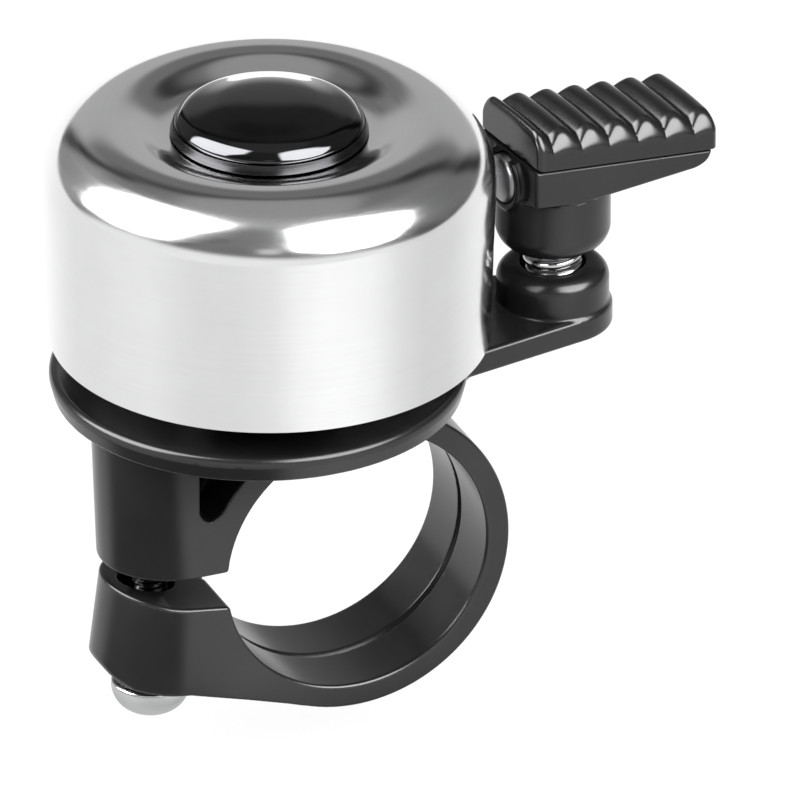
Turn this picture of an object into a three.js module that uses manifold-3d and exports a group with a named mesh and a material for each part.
// Flick-lever bicycle bell with a handlebar clamp.
// Millimetres, +Z up. The origin is the crown of the bar saddle: the bar's axis runs
// along Y at z = -BAR_R. The lever stands on the +X side, the clamp screw on the -X side.
// Every piece but the lever spring is centred on the plane y = 0.

import * as THREE from 'three';
import { mergeVertices } from 'three/addons/utils/BufferGeometryUtils.js';
import Module from 'manifold-3d';

const wasm = await Module();
wasm.setup();

// ---------------------------------------------------------------- shared dimensions
const SEG = 36;                // default segments of a round

const BAR_R = 11.1;            // grip-area handlebar, 22.2 mm diameter
const BAR_Z = -BAR_R;
const BAND_T = 1.95;           // wall of the clamp band
const BAND_R = BAR_R + BAND_T;
const BAND_HALF_W = 11.3 / 2;  // half the band's width along the bar
const SPLIT = 0.15;            // half of the gap at the band's flex line, on the +X side
const SPLIT_ANGLE = THREE.MathUtils.radToDeg(SPLIT / (BAR_R + BAND_T / 2));

const SCREW_X = -15.5;         // clamp screw axis
const POST_X = -14.5;          // centre of the half-round ends of post and lower jaw
const JAW_Z = -10;             // underside of the upper jaw
const STRAP_Z = -13.1;         // top of the lower jaw
const STRAP_BOTTOM = -20.4;    // spot face under the lower jaw

const BELL_X = -5.2;           // dome axis
const LEVER_X = 19.1;          // axis of the spring, boss and lever post
const SPRING_POCKET_R = 2.6;   // pockets for the spring's ends, in boss and lever
const PIN_HOLE_R = 1.5;        // narrower holes beyond those pockets

// ---------------------------------------------------------------- helpers
// welds a geometry into a solid, its faces turned outwards
function closed(geometry) {
  for (const key of Object.keys(geometry.attributes)) {
    if (key !== 'position') geometry.deleteAttribute(key);
  }
  const merged = mergeVertices(geometry, 1e-4);
  const index = merged.index.array;
  const { position } = merged.attributes;
  const corners = [0, 1, 2].map(() => new THREE.Vector3());
  const triangles = [];
  let volume = 0;
  for (let i = 0; i < index.length; i += 3) {
    const [a, b, c] = index.subarray(i, i + 3);
    if (a === b || b === c || c === a) continue;
    triangles.push(a, b, c);
    [a, b, c].forEach((vertex, k) => corners[k].fromBufferAttribute(position, vertex));
    volume += corners[0].dot(corners[1].cross(corners[2]));
  }
  if (volume < 0) {
    for (let i = 0; i < triangles.length; i += 3) {
      [triangles[i + 1], triangles[i + 2]] = [triangles[i + 2], triangles[i + 1]];
    }
  }
  return new wasm.Manifold(new wasm.Mesh({
    numProp: 3,
    vertProperties: new Float32Array(position.array),
    triVerts: new Uint32Array(triangles),
  }));
}

const join = (...solids) => solids.reduce((whole, solid) => whole.add(solid));
const cut = (body, ...tools) => tools.reduce((rest, tool) => rest.subtract(tool), body);
const vectors = (points) => points.map(([u, v]) => new THREE.Vector2(u, v));

// cylinder or cone standing along Z
function cylinder(x, z0, z1, radius, segments = SEG, topRadius = radius) {
  const geometry = new THREE.CylinderGeometry(topRadius, radius, z1 - z0, segments);
  geometry.rotateX(Math.PI / 2);
  geometry.translate(x, 0, (z0 + z1) / 2);
  return closed(geometry);
}

// cylinder lying along X
function cylinderX(z, x0, x1, radius, segments) {
  const geometry = new THREE.CylinderGeometry(radius, radius, x1 - x0, segments);
  geometry.rotateZ(Math.PI / 2);
  geometry.translate((x0 + x1) / 2, 0, z);
  return closed(geometry);
}

function box(x0, x1, halfWidth, z0, z1) {
  const geometry = new THREE.BoxGeometry(x1 - x0, 2 * halfWidth, z1 - z0);
  geometry.translate((x0 + x1) / 2, 0, (z0 + z1) / 2);
  return closed(geometry);
}

// profile of [radius, z] turned about the vertical axis at x
function turned(x, profile, segments = SEG) {
  const geometry = new THREE.LatheGeometry(vectors(profile), segments);
  geometry.rotateX(Math.PI / 2);
  geometry.translate(x, 0, 0);
  return closed(geometry);
}

// turned ring: the profile runs back to its first point
const turnedRing = (x, profile, segments) => turned(x, [...profile, profile[0]], segments);

// flat ring of rectangular section on the dome axis
function washer(innerR, outerR, z0, z1, segments) {
  const section = [[innerR, z0], [outerR, z0], [outerR, z1], [innerR, z1]];
  return turnedRing(BELL_X, section, segments);
}

// profile of [x, z] extruded along Y between y0 and y1
function sideways(profile, y0, y1) {
  const shape = new THREE.Shape(vectors(profile));
  const geometry = new THREE.ExtrudeGeometry(shape, { depth: y1 - y0, bevelEnabled: false });
  geometry.rotateX(Math.PI / 2);
  geometry.translate(0, y1, 0);
  return closed(geometry);
}

// profile of [x, y] extruded upwards
function upright(profile, z0, z1) {
  const shape = new THREE.Shape(vectors(profile));
  const geometry = new THREE.ExtrudeGeometry(shape, { depth: z1 - z0, bevelEnabled: false });
  geometry.translate(0, 0, z0);
  return closed(geometry);
}

// points along an arc, in degrees
const arc = (centreU, centreV, radius, from, to, steps) =>
  Array.from({ length: steps + 1 }, (_, i) => {
    const angle = THREE.MathUtils.degToRad(from + (to - from) * i / steps);
    return [centreU + radius * Math.cos(angle), centreV + radius * Math.sin(angle)];
  });

// [x, z] points about the bar's axis
const barArc = (radius, from, to, steps) => arc(0, BAR_Z, radius, from, to, steps);

// the bar's bore is circumscribed about the bar, with a flat facing +Z
function barBore() {
  const halfLength = 8;
  const radius = BAR_R / Math.cos(Math.PI / SEG);
  const geometry = new THREE.CylinderGeometry(radius, radius, 2 * halfLength, SEG);
  geometry.rotateY(Math.PI / SEG);
  geometry.translate(0, 0, BAR_Z);
  return closed(geometry);
}

// cross recess in a screw head
function cutCross(screw, x, reach, z0, z1) {
  const halfSlot = 0.35;
  return cut(screw,
    box(x - reach, x + reach, halfSlot, z0, z1),
    box(x - halfSlot, x + halfSlot, reach, z0, z1));
}

// ---------------------------------------------------------------- base bracket
const PLATE_X = -6.2;          // base plate centre
const PLATE_R = 16.55;
const PLATE_Z0 = 2.95;
const PLATE_Z1 = 5.1;
const PILLAR_TOP = 22.9;
const POST_TOP = 3.2;
const ARM_Z0 = 3.9;
const ARM_Z1 = 5.9;
const BOSS_R = 4.5;
const BOSS_TOP = 9.2;

function basePlate() {
  return turned(PLATE_X, [
    [0, PLATE_Z0], [16.2, PLATE_Z0], [PLATE_R, 4.3], [16.45, 4.8], [16.1, PLATE_Z1], [0, PLATE_Z1],
  ], 48);
}

// upper half of the band; it starts inside the bar's radius, and the bore trims it
function saddle() {
  const section = [
    ...barArc(BAND_R, SPLIT_ANGLE, 100, 22),
    ...barArc(BAR_R - 1, 100, SPLIT_ANGLE, 12),
  ];
  return sideways(section, -BAND_HALF_W, BAND_HALF_W);
}

// arm from the plate to the lever boss, tapering towards +X
function leverArm() {
  const [rootX, tipX] = [-2, 19.95];
  const tipHalfW = 4.66;
  const taperRun = 22;
  const taper = Math.tan(THREE.MathUtils.degToRad(11.6));   // on each side
  const rootHalfW = tipHalfW + taperRun * taper;
  return upright([
    [rootX, -rootHalfW], [tipX, -tipHalfW], [tipX, tipHalfW], [rootX, rootHalfW],
  ], ARM_Z0, ARM_Z1);
}

function leverBoss() {
  return turned(LEVER_X, [
    [0, ARM_Z1 - 1], [BOSS_R, ARM_Z1 - 1], [BOSS_R, 8],
    [4.3, 8.6], [3.9, 9], [3.3, BOSS_TOP], [0, BOSS_TOP],
  ]);
}

// The pocket that cores out each flank of the post: straight on its -X side,
// concentric with the bore on its +X side. A web is left between the two pockets.
function flankPockets() {
  const coreR = BAR_R + 2.2;
  const [pocketX, pocketTop] = [-13.5, 2.4];
  const halfWeb = 1.45;
  const concentric = barArc(coreR, 150, 96, 9);
  const [lastX] = concentric.pop();
  const section = [
    [pocketX, pocketTop], [pocketX, -4.3], [-13.15, -4.85], [-12.6, -5.15], [-12.05, -4.85],
    ...concentric, [lastX, 2.1], [-1.4, pocketTop],
  ];
  return [
    sideways(section, -BAND_HALF_W - 1, -halfWeb),
    sideways(section, halfWeb, BAND_HALF_W + 1),
  ];
}

function baseBracket() {
  const body = join(
    basePlate(),
    cylinder(POST_X, JAW_Z, POST_TOP, 5.15, SEG, 5.65),
    box(POST_X, 6, BAND_HALF_W, JAW_Z, POST_TOP),
    saddle(),
    leverArm(),
    cylinder(LEVER_X, ARM_Z0, ARM_Z1, 4.76),                // rounded end of the arm
    leverBoss(),
    cylinder(BELL_X, PLATE_Z1 - 1, PILLAR_TOP, 5.2, 28, 4.4));
  return cut(body,
    barBore(),
    ...flankPockets(),
    // clamp thread insert, then the screw's tip
    cylinder(SCREW_X, JAW_Z - 1, -3.2, 2.65, 24),
    cylinder(SCREW_X, -4, -1.6, 1.8, 20),
    // dome thread insert, and a narrower hole below it
    cylinder(BELL_X, 14.2, PILLAR_TOP + 1, 2.4, 24),
    cylinder(BELL_X, 12, 15, 1.7, 20),
    // spring pocket, then the hole through the arm
    cylinder(LEVER_X, 5.4, BOSS_TOP + 1, SPRING_POCKET_R, 24),
    cylinder(LEVER_X, ARM_Z0 - 1, 6, PIN_HOLE_R, 20));
}

// ---------------------------------------------------------------- clamp strap
// lower half of the band with the lower jaw, as [x, z]
const STRAP_SECTION = [
  ...barArc(BAND_R, -SPLIT_ANGLE, -111.4, 26),
  [-9.26, -21.85], [-14.3, STRAP_BOTTOM], [-18.6, -19.8], [-19.7, -19.15], [-20.3, -18.4],
  [-21.5, -17], [-21.5, -11.4], [-19.4, -11.55], [-15.7, -12.45], [-10.92, STRAP_Z],
  ...barArc(BAR_R - 1, 191, 360 - SPLIT_ANGLE, 24),
];

function clampStrap() {
  // the jaw's free end is half-round and drafted
  const envelope = join(
    cylinder(POST_X, -26, -9, 6.1, SEG, 5.3),
    box(POST_X, 16, BAND_HALF_W + 1, -27, 4));
  const washerSeat = cylinder(SCREW_X, -26, STRAP_BOTTOM, 3.35, 28);

  const slotR = 1.9;
  const slotShift = 0.8;       // the slot lengthens the screw hole towards -X
  const slot = upright([
    ...arc(SCREW_X - slotShift, 0, slotR, 90, 270, 10),
    ...arc(SCREW_X, 0, slotR, -90, 90, 10),
  ], STRAP_BOTTOM - 1, STRAP_Z + 3);

  const strap = sideways(STRAP_SECTION, -BAND_HALF_W, BAND_HALF_W).intersect(envelope);
  return cut(strap, washerSeat, barBore(), slot);
}

// ---------------------------------------------------------------- clamp screw
function clampThreadInsert() {
  return cut(cylinder(SCREW_X, -9.8, -3.4, 2.55, 24), cylinder(SCREW_X, -10.5, -3, 1.65, 20));
}

function clampWasher() {
  return cut(
    cylinder(SCREW_X, STRAP_BOTTOM - 0.6, STRAP_BOTTOM - 0.1, 2.95, 32),
    cylinder(SCREW_X, -22, -20, 1.75, 20));
}

// the head is at the bottom
function clampScrew() {
  const shankR = 1.5;
  const headR = 3.15;
  const headZ = STRAP_BOTTOM - 0.7;
  const screw = turned(SCREW_X, [
    [0, -3.9], [1.2, -3.9], [shankR, -4.2], [shankR, headZ], [headR, headZ],
    [headR, -21.9], [2.92, -22.75], [2.3, -23.5], [1.35, -23.9], [0, -24],
  ], 32);
  return cutCross(screw, SCREW_X, 1.7, -25, -22.8);
}

// ---------------------------------------------------------------- dome stack
const RIM_Z = 7.7;             // lower rim of the dome
const DOME_R = 17.5;           // radius at the rim
const DOME_T = 1.1;            // wall at the rim

// [radius, height above the rim]: outside from the centre hole to the rim, then the inside back up
const DOME_SECTION = [
  [3, 17.7], [8.4, 17.75], [9.3, 18], [10.2, 18.45], [11.2, 18.9], [12.3, 19.12],
  [13.4, 19.05], [14.6, 18.65], [15.7, 17.95], [16.6, 17.1], [17.3, 16.1], [17.75, 15],
  [17.92, 13.6], [17.85, 11], [17.7, 7], [17.58, 3], [DOME_R, 0],
  [DOME_R - DOME_T, 0], [16.48, 3], [16.6, 7], [16.72, 11], [16.78, 13.4], [16.6, 14.5],
  [16.2, 15.4], [15.6, 16.2], [14.8, 16.95], [13.9, 17.5], [13, 17.85], [12.2, 17.98],
  [11.4, 17.8], [10.5, 17.3], [9.6, 16.85], [8.5, 16.65], [3, 16.6],
];

// [radius, z]: outside from the bottom edge to the crown, then the underside
const CAP_SECTION = [
  [6.6, 26.35], [7.45, 26.35], [7.5, 26.45], [7.4, 26.69], [7.13, 27.1], [6.78, 27.46],
  [6.35, 27.68], [5, 28], [3.6, 28.34], [1.8, 28.58], [0, 28.65],
  [0, 27.95], [2.6, 27.75], [4.6, 27.35], [6.2, 26.8],
];

function bellDome() {
  return turnedRing(BELL_X, DOME_SECTION.map(([radius, height]) => [radius, height + RIM_Z]), 48);
}

// flanged bush between the pillar and the dome
function domeSeatBush() {
  const [holeR, sleeveR, flangeR] = [1.75, 2.85, 4.6];
  const [bottom, flangeTop, top] = [PILLAR_TOP + 0.1, 24.2, 25.7];
  return turnedRing(BELL_X, [
    [holeR, bottom], [flangeR, bottom], [flangeR, flangeTop],
    [sleeveR, flangeTop], [sleeveR, top], [holeR, top],
  ], 28);
}

// split spring washer: the ring is cut through on its +X side
function centreLockWasher() {
  return cut(washer(1.7, 2.8, 26.25, 26.62, 24), box(BELL_X + 1, BELL_X + 3.5, 0.25, 26.1, 26.8));
}

function centreScrew() {
  const shankR = 1.5;
  const headR = 2.9;
  const [headZ, headTop] = [26.67, 27.4];
  const screw = turned(BELL_X, [
    [0, 14.9], [1, 14.9], [shankR, 15.5], [shankR, headZ],
    [headR, headZ], [headR, 27.1], [2.3, headTop], [0, headTop],
  ], 24);
  return cutCross(screw, BELL_X, 1.5, 26.95, 28);
}

function capCollar() {
  return turnedRing(BELL_X, [[6, 25.55], [7.85, 25.55], [7.85, 25.65], [7.62, 26.3], [6, 26.3]], 40);
}

// ---------------------------------------------------------------- lever spring
const COIL = { radius: 2, z0: 5.95, z1: 14.1, turns: 8, stepsPerTurn: 14, wireR: 0.44 };

class CoilCurve extends THREE.Curve {
  getPoint(t, target = new THREE.Vector3()) {
    const angle = 2 * Math.PI * COIL.turns * t;
    return target.set(
      LEVER_X + COIL.radius * Math.cos(angle),
      COIL.radius * Math.sin(angle),
      COIL.z0 + (COIL.z1 - COIL.z0) * t);
  }
}

function leverSpring() {
  const wire = new THREE.Shape();
  wire.absarc(0, 0, COIL.wireR, 0, 2 * Math.PI);
  return closed(new THREE.ExtrudeGeometry(wire, {
    steps: COIL.turns * COIL.stepsPerTurn,
    curveSegments: 3,
    bevelEnabled: false,
    extrudePath: new CoilCurve(),
  }));
}

function springAnchorRivet() {
  return turned(LEVER_X, [
    [0, 3.2], [1.6, 3.2], [2.2, 3.5], [2.2, 3.85], [1.4, 3.85], [1.4, 8.6], [1.1, 8.9], [0, 8.9],
  ], 24);
}

function springLeverPlug() {
  return turned(LEVER_X, [[0, 11.2], [1.1, 11.2], [1.4, 11.5], [1.4, 15.2], [0, 15.2]], 24);
}

// ---------------------------------------------------------------- lever
// The lever is drawn straight along X, then turned about its post by LEVER_YAW degrees.
const LEVER_YAW = 7;
const LEVER_HALF_W = 4.6;
const LEVER_POST_R = 4.6;
const LEVER_POST_Z = 10.9;
const HAMMER_Z = 17.65;

const yawed = (solid) =>
  solid.translate([-LEVER_X, 0, 0]).rotate([0, 0, LEVER_YAW]).translate([LEVER_X, 0, 0]);

// profile of [distance from the post's axis, z], extruded across the lever
const acrossLever = (profile, halfWidth) =>
  sideways(profile.map(([along, z]) => [LEVER_X + along, z]), -halfWidth, halfWidth);

function leverBody() {
  const blade = acrossLever([
    [-4.1, 16.7], [0.1, 16.2], [1.64, 16.23], [10.9, 16.66],
    [11.96, 17.35], [11.96, 17.92], [-4.1, 19.88],
  ], LEVER_HALF_W);
  const post = turned(LEVER_X, [
    [0, LEVER_POST_Z], [3.5, LEVER_POST_Z], [4.2, 11.25],
    [LEVER_POST_R, 11.9], [LEVER_POST_R, 17], [0, 17],
  ]);
  // the hammer's socket, cut flat on top
  const socket = cut(
    cylinderX(HAMMER_Z, LEVER_X - 4.75, LEVER_X - 1.5, 2.6, 28),
    box(10, 20, 4, 19.6, 22));
  return yawed(cut(join(blade, post, socket),
    cylinder(LEVER_X, 10, 14.6, SPRING_POCKET_R, 24),
    cylinder(LEVER_X, 14, 15.4, PIN_HOLE_R, 20),
    cylinderX(HAMMER_Z, 10, LEVER_X - 2.3, 2.1, 24)));
}

// [radius, distance along +X from the striking face]
const HAMMER_SECTION = [[0, 0], [1.1, 0.07], [1.7, 0.3], [2, 0.7], [2, 2.6], [0, 2.6]];

function strikerHammer() {
  const geometry = new THREE.LatheGeometry(vectors(HAMMER_SECTION), 28);
  geometry.rotateZ(-Math.PI / 2);
  geometry.translate(LEVER_X - 5.15, 0, HAMMER_Z);
  return yawed(closed(geometry));
}

// ribbed pad: seven ridges across, six valleys between them
const PAD = {
  start: -4.15, end: 12.2,     // along the lever, from the post's axis
  halfWidth: 4.75,
  startHeight: 2.1,            // above the seam, at the start
  valleyHeight: 2, ridgeHeight: 0.75,
  ridgeSteps: 8, ridgePower: 0.85,
};
// the ridges' ends; the first ridge would begin before the pad, and is cut short
const RIDGE_ENDS = [-4.75, -2.55, 0.02, 2.58, 5.15, 7.71, 10.28, PAD.end];

function thumbPad() {
  const seam = (along) => 20.02 - 0.122 * (along + 4);      // z of the pad's underside
  const top = [[PAD.start, seam(PAD.start) + PAD.startHeight]];
  for (let i = 0; i < RIDGE_ENDS.length - 1; i++) {
    const [from, to] = [RIDGE_ENDS[i], RIDGE_ENDS[i + 1]];
    for (let k = 0; k < PAD.ridgeSteps; k++) {
      const t = k / PAD.ridgeSteps;
      const along = from + (to - from) * t;
      if (along < PAD.start + 0.15) continue;
      const ridge = PAD.ridgeHeight * Math.sin(Math.PI * t) ** PAD.ridgePower;
      top.push([along, seam(along) + PAD.valleyHeight + ridge]);
    }
  }
  top.push([PAD.end, seam(PAD.end) + PAD.valleyHeight]);
  const underside = [PAD.start, PAD.end].map((along) => [along, seam(along)]);
  return yawed(acrossLever([...underside, ...top.reverse()], PAD.halfWidth));
}

// ---------------------------------------------------------------- finishes
const matt = (color, roughness) => ({ color, roughness, metalness: 0 });
const metal = (color, roughness) => ({ color, roughness, metalness: 1 });
const steel = (roughness) => metal(0xc8cacc, roughness);
const BLACK = matt(0x151517, 0.42);
const BRASS = metal(0xb08d4a, 0.35);

// ---------------------------------------------------------------- assembly
const group = new THREE.Group();

function add(name, solid, finish) {
  const { vertProperties, triVerts } = solid.getMesh();
  const geometry = new THREE.BufferGeometry();
  geometry.setAttribute('position',
    new THREE.BufferAttribute(new Float32Array(vertProperties), 3));
  geometry.setIndex(new THREE.BufferAttribute(new Uint32Array(triVerts), 1));
  const mesh = new THREE.Mesh(geometry, new THREE.MeshStandardMaterial(finish));
  mesh.name = name;
  group.add(mesh);
}

add('base_bracket', baseBracket(), BLACK);
add('clamp_strap', clampStrap(), BLACK);
add('clamp_thread_insert', clampThreadInsert(), BRASS);
add('clamp_washer', clampWasher(), metal(0x2c2c2e, 0.5));
add('clamp_screw', clampScrew(), steel(0.18));

add('bell_dome', bellDome(), metal(0xd9dadc, 0.16));
add('dome_seat_bush', domeSeatBush(), matt(0xe6e2d6, 0.5));
add('dome_thread_insert', washer(1.6, 2.3, 14.4, 22.7, 24), BRASS);
add('fibre_washer', washer(2.95, 4.6, 25.45, 25.75, 28), matt(0x8a3a2c, 0.8));
add('centre_washer', washer(1.7, 4.4, 25.82, 26.2, 28), steel(0.3));
add('centre_lock_washer', centreLockWasher(), steel(0.3));
add('centre_screw', centreScrew(), steel(0.25));
add('cap_collar', capCollar(), metal(0x5b5d60, 0.35));
add('centre_cap', turnedRing(BELL_X, CAP_SECTION, 40), metal(0x3a3c40, 0.06));

add('lever_spring', leverSpring(), steel(0.15));
add('spring_anchor_rivet', springAnchorRivet(), steel(0.3));
add('lever_body', leverBody(), BLACK);
add('spring_lever_plug', springLeverPlug(), steel(0.3));
add('striker_hammer', strikerHammer(), metal(0x8f9294, 0.3));
add('thumb_pad', thumbPad(), matt(0x1c1c1e, 0.45));

export default group;
